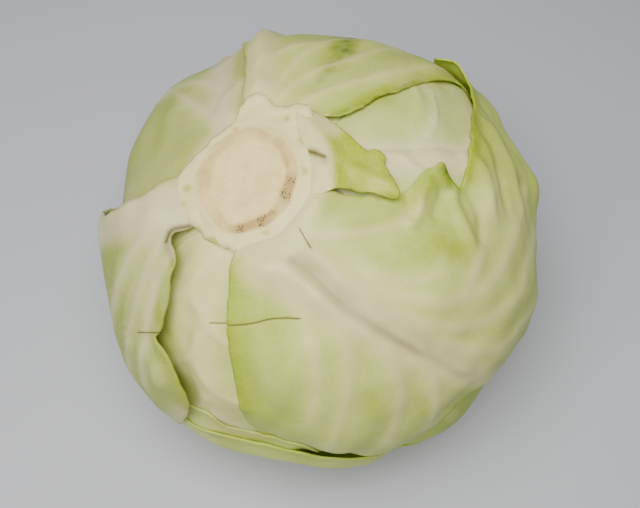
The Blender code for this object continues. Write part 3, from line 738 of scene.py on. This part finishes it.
# A darker, greyer copy of the wrapper blade for the two leaves on the left: partly their own older colour,
# partly painted shade for that side of the head.
outer_blade_with_left_shade = blade_finish("outer_wrapper_leaf_blade_with_left_shade", pale="#BEC27C", green="#93A130", rib="#CDC594")
torn_blade = blade_finish("torn_leaf_blade", pale="#DAD97C", green="#A0B008")

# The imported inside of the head: dozens of pale crisp leaves, folded tight over one another round the
# core. It shows only in the slits between the outer leaves, so the solid itself is kept and coloured.
for material_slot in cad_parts["packed_inner_leaves"].material_slots:
    material_slot.material = inner_blade

# The inner leaf on the right, bared by the torn leaf over it. It grew out of the light, so it is crisp
# and nearly white, with a broad flat rib. Its base is held in the stalk under the collar.
leaf(
    "inner_leaf_right",
    outline=((40, 24.5), (46, 40), (52, 62), (56, 88), (50, 110), (34, 126), (8, 132), (-16, 124),
             (-30, 106), (-34, 84), (-30, 60), (-21, 38), (-6, 20.0), (16, 21.8)),
    rib=((16, 22), (12, 31), (11, 42), (11, 58), (11, 80), (10, 105)), rib_width=(17, 7),
    rib_relief=((0.0, 0.5, 1.0),),
    veins=(((15, 45), (21, 51), (28, 56), (34, 59), (39, 62)), ((12, 58), (20, 66), (28, 76), (32, 90)),
           ((10, 40), (0, 50), (-6, 62), (-10, 80))),
    creases=((((24, 23), (16, 34), (15, 45), (15, 62)), -0.6, 1.8),
             (((17, 23), (10, 33), (8, 44), (8, 62)), -0.6, 2.4),
             (((44, 58), (36, 55), (28, 50), (22, 44)), 0.7, 4)),
    greens=((((42, 32), (40, 44)), 0.6, 16), ((34, 58), 0.5, 14), ((26, 36), 0.35, 10)), rib_white=0.9,
    tissue=0.35, waves=0.4, material=inner_blade, seed=11,
)

# The wrapper leaf at the back left. It is older than the leaves inside it, so it is tougher and grey
# green, and its colours are darkened further as painted shade for the left side of the head. It has a
# pale rib and a shaded groove beside it. Its base was cut through with the stalk.
leaf(
    "wrapper_leaf_back_left",
    outline=((96, 19.5), (92, 36), (88, 60), (88, 90), (94, 116), (112, 137), (138, 141), (160, 128),
             (176, 106), (-177, 84), (-174, 60), (-175, 38), (-178, 24), (168, 20.5), (150, 18.5),
             (120, 18)),
    rib=((116, 19), (113, 33), (111, 50), (110, 75), (113, 105), (118, 130)), rib_width=(11, 6),
    rib_relief=((0.0, 0.6, 1.0), (-1.2, -0.9, 0.5)), veins=(((118, 24), (126, 36), (130, 52), (130, 70)),),
    grown=4,
    greens=((((128, 48), (138, 44), (150, 38)), 0.7, 18), ((128, 64), 0.5, 26), ((150, 70), 0.5, 30),
            ((120, 90), 0.4, 40)),
    dark_greens_and_shade=((((136, 44), (144, 40)), 0.18, 10),), tissue=0.55, cream=(18, 24), step=1.5,
    material=outer_blade_with_left_shade, seed=21,
)

# The leaf at the front left: pale flesh with a broad soft ridge in place of a sharp rib, and a long
# scratch. The left leaf lies over one side of it and the front leaf over the other.
leaf(
    "wrapper_leaf_front_left",
    outline=((-146, 17.5), (-154, 34), (-156, 58), (-150, 86), (-136, 106), (-112, 113), (-89, 108),
             (-77, 88), (-79, 60), (-85, 38), (-92, 17.0), (-110, 17.2), (-130, 16.8)),
    rib=((-127, 19), (-124, 27), (-119, 36), (-116, 48), (-114, 66), (-112, 90)), rib_width=(24, 12),
    rib_relief=((0.0, 0.4, 1.0),), grown=3, vein_length=55,
    creases=((((-108, 21), (-115, 31), (-121, 38), (-126, 48)), -1.5, 8),
             (((-112, 48), (-110, 62), (-106, 76)), 0.8, 8)),
    scratches_and_shade_lines=((((-112, 36), (-107, 35.5), (-100, 34.9)), 0.2, 0.5),),
    greens=((((-107, 34), (-106, 44)), 0.5, 11), (((-112, 56), (-108, 68)), 0.5, 14),
            ((-122, 60), 0.4, 14)),
    rib_white=0.7, tissue=0.25, material=wrapper_blade, seed=31,
)

# The wrapper leaf at the back: thin green tissue on a white rib that runs over the top of the head. Its
# right edge is torn and yellowed, and bruised dark green in one place. It is held at the collar.
leaf(
    "wrapper_leaf_back",
    outline=((98, 21), (99, 31), (101, 50), (108, 70), (112, 95), (107, 120), (92, 139), (66, 143),
             (43, 130), (34, 108), (37, 92), (40, 82), (41, 70), (42, 58), (40, 50), (41, 40), (40, 32),
             (44, 27), (54, 24.8), (68, 21.6), (80, 22.0), (88, 23.5), (95, 22.0), (97, 19.0)),
    rib=((88, 24), (91, 34), (95, 48), (97, 60), (97, 80), (93, 105), (86, 130)), rib_width=(12, 5),
    rib_relief=((0.0, 0.9, 0.8), (1.3, -0.8, 0.5), (-1.3, -0.8, 0.5)),
    veins=(((82, 26), (81, 35), (79, 45), (75, 56), (72, 74)),
           ((78, 25), (74, 33), (70, 41), (64, 47), (60, 60), (60, 76)),
           ((66, 23), (62, 30), (54, 38), (49, 48), (47, 60), (47, 76))),
    grown=2, vein_length=72,
    greens=(((58, 60), 0.7, 22), (((45, 28), (43, 38), (43, 50)), 0.6, 7), ((46, 60), 0.5, 12),
            ((76, 55), 0.4, 16), (((78, 78), (73, 66), (69, 54), (66, 44)), 1.0, 14), ((60, 80), 0.5, 30)),
    dark_greens_and_shade=((((79, 80), (75, 70), (72, 61), (69, 54)), 1.0, 9), (((69, 54), (66, 44), (65, 38)), 0.5, 5),
           # The thin dark line along the base, where the leaf meets the collar, is painted shade.
           (((97, 20.5), (95, 23), (91, 24.8), (86, 25.2), (82, 24.4)), 0.9, 1.1),
           (((43, 28), (41, 33), (41, 41), (41, 50), (42, 58), (41, 68)), 0.6, 2.0), ((42, 74), 0.15, 8)),
    margin_green=0.35, margin_width=7, tissue=0.38, ragged_by=0.9, material=wrapper_blade, seed=41,
)

# A thin yellow-green leaf under the front one, of the same soft tissue as a margin. It is held under the
# front leaf's base, and shows only where it stands out below that leaf's edge.
leaf(
    "inner_leaf_front",
    outline=((-56, 24), (-80, 42), (-84, 70), (-78, 92), (-70, 103), (-62, 114), (-48, 123), (-30, 121),
             (-21, 104), (-23, 76), (-28, 50), (-40, 30)),
    rib=((-55, 25), (-55, 45), (-55, 70), (-55, 95)), rib_width=(10, 4), grown=2, vein_length=45,
    lifts=(((-57, 99), 1.6, 20), ((-66, 101), 1.6, 15), ((-38, 100), -1.0, 22)),
    # The darker middle of the strip that stands out is painted shade from the front leaf's edge over it.
    greens=(((-55, 100), 1.0, 40), ((-66, 98), 1.0, 30)), dark_greens_and_shade=(((-55, 98), 0.3, 16),), rib_white=0.2,
    tissue=0.9, hug=0.0, ragged_by=1.6, step=1.4, material=wrapper_blade, seed=51,
)

# The big front leaf. Its thick white rib runs down to the right from the collar, out of which it grows
# without an edge. Its right half was bent back when the leaf over it was torn off, and stayed crumpled.
leaf(
    "wrapper_leaf_front",
    outline=((-102, 17.0), (-103, 28), (-103, 38), (-103, 50), (-104, 64), (-104, 78), (-101, 95),
             (-90, 105), (-78, 102), (-68, 94), (-58, 87), (-48, 85.5), (-41, 91), (-34, 106), (-20, 126),
             (2, 137), (26, 137), (46, 126), (57, 108), (59, 92), (54, 82), (52, 77), (47, 78.5), (42, 80),
             (39, 79), (33, 76), (28, 70), (24, 67), (20, 63.4), (18, 63), (14, 59.4), (11, 59), (6, 56),
             (2, 55.4), (0.5, 53), (4, 51.6), (7.6, 49.4), (7.4, 48.4), (5, 46), (3, 43), (-3, 40),
             (-6, 38.5), (-9, 33), (-11, 27), (-12, 18.6), (-18, 15.0), (-35, 14.6), (-54, 14.5),
             (-72, 14.6), (-92, 15.0)),
    rib=((-76, 21), (-67, 25), (-59, 34), (-53, 45), (-48, 58), (-45, 72), (-42, 92)), rib_width=(20, 8),
    rib_relief=((0.15, 1.0, 0.7), (1.5, -0.5, 0.6)),
    veins=(((-80, 21), (-72, 28), (-71, 37), (-72, 43), (-76, 51), (-84, 62)),
           ((-63, 33), (-61, 42), (-65, 50), (-72, 59), (-79, 67), (-84, 76)),
           ((-54, 46), (-55, 54), (-58, 64), (-65, 73), (-71, 82)),
           ((-49, 59), (-51, 68), (-55, 76), (-61, 85)),
           ((-52, 20), (-48, 29), (-41, 38), (-34, 47), (-27, 52)),
           ((-49, 33), (-43, 42), (-36, 54), (-28, 63), (-16, 70), (-5, 74), (8, 84)),
           ((-46, 47), (-40, 60), (-33, 70), (-21, 78), (-11, 82), (4, 96)),
           ((-43, 62), (-40, 72), (-34, 82), (-25, 87), (-14, 100)),
           ((-54, 18), (-37, 25), (-26, 33), (-17, 39), (-9, 43)),
           ((-30, 60), (-22, 60), (-14, 62), (-4, 62), (6, 68))),
    vein_widths=(5.6, 3.8),
    creases=((((-68, 19), (-62, 22), (-58, 26), (-56, 33), (-55, 40), (-52, 49), (-49.5, 58), (-47, 70),
              (-44, 86)), -2.4, 3.6),
             (((-60, 20), (-56, 25), (-53, 33), (-52.5, 40), (-50, 49), (-48, 58), (-45, 70)), -1.5, 8),
             (((-56, 21), (-51, 27), (-49, 35), (-49, 44), (-47, 54), (-45, 66), (-42, 80)), 1.6, 7),
             (((-4, 38), (-9, 41), (-16, 41)), -2.0, 4),
             (((3, 46), (-4, 43), (-12, 42), (-20, 41)), 2.4, 4.5),
             (((0, 50), (-6, 48), (-13, 47)), -2.2, 4),
             (((4, 53), (-3, 52), (-11, 54), (-17, 60)), 2.2, 4.5),
             (((3, 57), (-6, 60), (-15, 62)), -1.3, 4), (((14, 60), (8, 63), (0, 63), (-8, 66)), 1.4, 4.5),
             (((26, 70), (16, 70), (5, 69), (-6, 71)), -1.5, 4.5),
             (((30, 75), (20, 75), (8, 75), (-2, 77)), 1.6, 5),
             (((38, 80), (26, 84), (10, 80), (-2, 82)), -1.4, 5),
             (((44, 86), (34, 90), (20, 88), (6, 90)), 1.6, 6)),
    lifts=(((47, 79), 1.5, 10), ((-36, 99), -2.0, 22), ((11, 92), 1.0, 14), ((6, 48), 1.4, 6),
           ((4, 55), 1.4, 5), ((16, 61), 1.2, 7)),
    scratches_and_shade_lines=((((-105, 35), (-98, 34.6), (-91, 34), (-84, 33.5), (-78, 34), (-72, 35.2)), 0.4, 0.75),
           (((-46, 19), (-47.5, 20.8), (-49, 23)), 0.25, 0.5)),
    greens=((((-98, 21), (-101, 34), (-101, 48)), 0.9, 26),
            (((-101, 48), (-102, 66), (-101, 84)), 0.7, 26),
            (((-88, 26), (-86, 34), (-84, 48), (-88, 62)), 0.65, 20), (((-80, 66), (-76, 80)), 0.6, 16),
            (((-66, 60), (-70, 74)), 0.6, 11), (((-56, 66), (-60, 80)), 0.6, 9),
            (((-50, 76), (-52, 86)), 0.5, 8), (((-30, 28), (-22, 33), (-14, 36)), 0.75, 10),
            (((-34, 36), (-32, 44), (-24, 47), (-18, 50)), 0.7, 11),
            (((-20, 50), (-19, 58), (-10, 60)), 0.8, 11), (((-8, 40), (-2, 44), (3, 48), (2, 54)), 1.0, 9),
            (((6, 57), (14, 60), (24, 67), (33, 75), (40, 79)), 1.0, 12),
            (((6, 60), (14, 66), (24, 74)), 0.7, 14), (((44, 82), (50, 86)), 0.6, 12),
            (((-12, 74), (0, 80), (10, 90)), 0.5, 14), (((20, 96), (30, 110)), 0.5, 36)),
    # Painted shade: the dark triangle in the fold by the torn window, the fold beside it, and a faint band
    # along the left margin.
    dark_greens_and_shade=((((5, 48), (4, 51), (0, 50.5)), 0.8, 3.5), (((20, 63), (30, 72)), 0.35, 4),
           (((-104, 40), (-104, 54), (-105, 70)), 0.15, 7)),
    # Painted shade darkens the groove on the lower side of the rib, and a fainter line carries on from it.
    stains_and_shade=((((-49, 44), (-47, 53), (-45, 62), (-43, 74)), 0.45, 6),
            (((-61, 23), (-57.5, 27), (-56, 34), (-54.5, 41), (-51.5, 49), (-49, 58)), 1.0, 3.6),
            (((-58, 24), (-54, 31), (-52.5, 40), (-50.5, 48)), 0.6, 7)),
    margin_green=0.15, margin_width=6, tissue=0.52, cream=(17, 22), flush=(15.5, 24, 0.6), roll=0.5,
    ragged_by=0.9, waves=0.6, material=wrapper_blade, seed=61,
)

# A leaf mostly tucked under the outer ones, thin and yellow green. Only its free edge shows, as the
# upper of the two lips at the front.
leaf(
    "tucked_leaf_crown",
    outline=((-162, 24), (-154, 40), (-146, 58), (-131, 67), (-125, 67.5), (-120, 67.5), (-115, 68),
             (-113.5, 73), (-108, 75.5), (-100, 75.5), (-93, 75.5), (-90.5, 79), (-90, 88), (-92, 101),
             (-104, 112), (-130, 116), (-155, 106), (-167, 84), (-169, 50), (-168, 24)),
    rib=((-163, 23), (-152, 45), (-140, 66), (-126, 88), (-112, 106)), rib_width=(9, 4), grown=2,
    vein_length=50, greens=(((-100, 74), 0.6, 20), ((-112, 68), 0.5, 16)), hug=4.5, step=1.6,
    material=wrapper_blade, seed=71,
)

# The outermost leaf, thin and green. It comes up from the stalk at the left, cups the crown and is
# pressed flat under the head, which rests on it. Its edge is the lower lip at the front.
leaf(
    "wrapper_leaf_crown",
    outline=((-168, 22), (-161, 32), (-154, 48), (-143, 66), (-130, 73), (-121, 76), (-114, 78.5),
             (-107, 79.5), (-101, 79.5), (-93, 80), (-90, 84), (-84, 87), (-80, 92), (-73, 99), (-65, 106),
             (-48, 110), (-24, 116), (2, 125), (30, 129), (60, 123), (92, 129), (120, 123), (150, 123),
             (171, 109), (-179, 88), (-177, 60), (-178, 36), (-179, 24)),
    rib=((-172, 21), (-166, 45), (-158, 75), (-150, 105), (-140, 135)), rib_width=(13, 5),
    rib_relief=((0.0, 0.5, 1.0),), grown=5, vein_length=80,
    greens=(((-125, 62), 0.5, 24), ((-100, 84), 0.4, 30), ((-60, 140), 0.4, 60), ((60, 150), 0.4, 60)),
    margin_green=0.25, margin_width=10, hug=4.5, step=2.0, material=wrapper_blade, seed=81,
)

# The left leaf: a broad white rib across the left side with grey-green tissue on both sides. Its base was
# cut level with the stalk, with a torn hole beside it, and its right edge is rolled up and yellow.
leaf(
    "wrapper_leaf_left",
    outline=((-158, 15.4), (-151, 16.0), (-149.5, 19.5), (-152, 22), (-149, 24), (-141, 23.5), (-135, 25),
             (-134, 28), (-130, 33), (-129, 43), (-132, 45.3), (-125, 46), (-120.5, 51), (-118, 57),
             (-119, 64), (-122, 70), (-127, 79), (-133, 92), (-144, 106), (-164, 116), (173, 110),
             (161, 96), (163, 76), (172, 60), (179, 48), (-179, 38), (-179, 30), (179, 25), (172, 22.5),
             (167, 20), (168, 17.5), (178, 16.5), (-168, 15.6)),
    rib=((-166, 19), (-172, 27), (-178, 38), (179, 50), (176, 68), (176, 95)), rib_width=(20, 9),
    rib_relief=((0.0, 0.8, 1.0), (1.2, -0.8, 0.5)),
    veins=(((-157, 20), (-150, 28), (-144, 38), (-141, 52), (-142, 74)),
           ((-162, 26), (-156, 37), (-153, 52), (-154, 76)),
           ((-145, 22), (-140, 27), (-137, 38), (-134, 50), (-134, 66)),
           ((180, 52), (-172, 70), (-170, 92)), ((176, 56), (168, 72), (166, 92))),
    creases=((((-138, 26), (-133, 34), (-132, 41)), 1.4, 4), (((-129, 50), (-126, 59)), 1.6, 5),
             (((-131, 45), (-136, 48), (-142, 54)), -1.2, 2.0),
             (((-152, 26), (-146, 38), (-142, 52)), -0.8, 5)),
    lifts=(((-125, 54), 1.6, 9),),
    # Both lines are painted shadow: a dark line under the notch in the edge, and the dark olive inside of
    # the torn hole, a curled scrap in shade.
    scratches_and_shade_lines=((((-130, 43.0), (-134, 45), (-138, 47.6)), 0.3, 0.6),
           (((-151.5, 19), (-154, 22), (-150, 24.6)), 1.2, 1.6)),
    greens=((((-150, 32), (-146, 44), (-144, 60)), 0.7, 14),
            (((-137, 25), (-132, 32), (-131, 42)), 1.0, 9),
            (((-129, 48), (-127, 56), (-128, 64)), 0.45, 11), ((-155, 70), 0.55, 24),
            (((-172, 50), (-176, 70)), 0.5, 14)),
    # Painted shade along and round the torn hole.
    dark_greens_and_shade=((((-148, 24.6), (-141, 24.5), (-136, 26)), 0.5, 2.2),),
    stains_and_shade=((((-151, 18.5), (-154, 22), (-149, 25), (-141, 24.6)), 1.0, 3.4),),
    whites=((((-121, 66), (-126, 76)), 0.6, 11), ((-127, 54), 0.25, 9)), margin_green=0.3, margin_width=7,
    rib_white=0.95, tissue=0.95, cream=(18, 23), flush=(17.5, 25, 3.0), roll=0.9, material=outer_blade_with_left_shade,
    seed=91,
)

# The torn base of a leaf that was pulled off. It is white flesh that turns yellow green, thin and limp,
# so it lies folded over to the right. It still grows from the collar.
leaf(
    "torn_leaf_base",
    outline=((58, 22), (46, 24.6), (38, 25.6), (26, 27), (16, 28.6), (13, 30.4), (14.5, 32.4), (9, 34.6),
             (7, 33.6), (2, 34.6), (-2, 35.4), (-7, 37), (-10, 36), (-9, 33), (-7.5, 30.5), (-9, 27),
             (-9, 24), (-11, 21.4), (-18, 18.4), (-22, 16.0), (-10, 14.6), (6, 14.8), (20, 15.2),
             (34, 16.0), (48, 17.8)),
    rib=((24, 22), (12, 26), (2, 31)), rib_width=(12, 5),
    creases=((((4, 24), (0, 30), (-4, 36)), 1.0, 4), (((-8, 25), (-6, 31), (-7, 37)), -0.8, 2.5)),
    # The dark line cut in near the collar is painted shadow of the slit between the collar and this leaf.
    scratches_and_shade_lines=((((22, 16), (18, 17), (14, 18), (11, 19.4)), 1.8, 1.5),),
    greens=((((20, 26), (10, 28), (-2, 29)), 1.0, 24), (((8, 33), (-2, 34), (-7, 35)), 1.0, 18)),
    # Painted shade along the tip's edge and along the lower edge.
    dark_greens_and_shade=((((-10, 25), (-10, 29), (-9, 33), (-11, 37.5)), 0.8, 2.2),
           (((7, 34), (3, 36.5), (-4, 38.6)), 0.5, 2.5), (((8, 30), (0, 33)), 0.15, 5)),
    # Painted shade round the slit by the collar.
    stains_and_shade=((((17, 17.4), (12, 18.4), (8, 19.2)), 1.0, 3.0),),
    whites=((((54, 22), (42, 22.4), (33, 23)), 1.0, 9),), rib_white=0.0, tissue=0.95, cream=(20, 22.5),
    flush=(17, 25, 0.6), hug=0.8, roll=0.7, ragged_by=0.6, step=0.8, corners=1, material=torn_blade,
    seed=101,
)

# The floor, the light and the camera: a pale table top under a broad soft light from above, seen from
# the front at 65 degrees above level.
CAMERA_RISE = math.radians(65.0)
CAMERA_DISTANCE = 405 * MM
CAMERA_AIM = Vector((0.5 * MM, -4.5 * MM, 84 * MM))
LIGHT_AIM = Vector((0, 0, 80 * MM))
FLOOR_SIZE = 6.0
FLOOR_BELOW_HEAD = 0.2 * MM
# Painted board: even and matt, so it mirrors nothing.
floor_finish, floor_tree, floor_shader, _ = finish_of("matt_table_top")
set_up(floor_tree, floor_shader, {"Base Color": linear("#BCBDC1"), "Roughness": 0.6})
bpy.ops.mesh.primitive_plane_add(size=FLOOR_SIZE, location=(0, 0, -FLOOR_BELOW_HEAD))
floor = bpy.context.object
floor.name = "table_top"
floor.data.materials.append(floor_finish)

world = bpy.data.worlds.new("room_light")
bpy.context.scene.world = world
world.use_nodes = True
set_up(world.node_tree, world.node_tree.nodes["Background"], {"Color": linear("#F4F5F8"), "Strength": 0.32})


def soft_box(name, place, size, power):
    """A square lamp of the given size and power, turned to the head."""
    lamp = bpy.data.objects.new(name, bpy.data.lights.new(name, "AREA"))
    lamp.data.size = size
    lamp.data.energy = power
    lamp.location = place
    lamp.rotation_euler = (LIGHT_AIM - Vector(place)).to_track_quat("-Z", "Y").to_euler()
    bpy.context.scene.collection.objects.link(lamp)


soft_box("overhead_light", (-0.06, -0.13, 0.66), 0.40, 5.3)
soft_box("window_light", (-0.60, -0.55, 0.36), 0.4, 1.8)

camera = bpy.data.objects.new("camera", bpy.data.cameras.new("camera"))
camera.data.lens = 50
camera.data.sensor_width = 36
to_camera = Vector((0, -math.cos(CAMERA_RISE), math.sin(CAMERA_RISE)))
camera.location = CAMERA_AIM + to_camera * CAMERA_DISTANCE
camera.rotation_euler = (-to_camera).to_track_quat("-Z", "Y").to_euler()
bpy.context.scene.collection.objects.link(camera)
bpy.context.scene.camera = camera
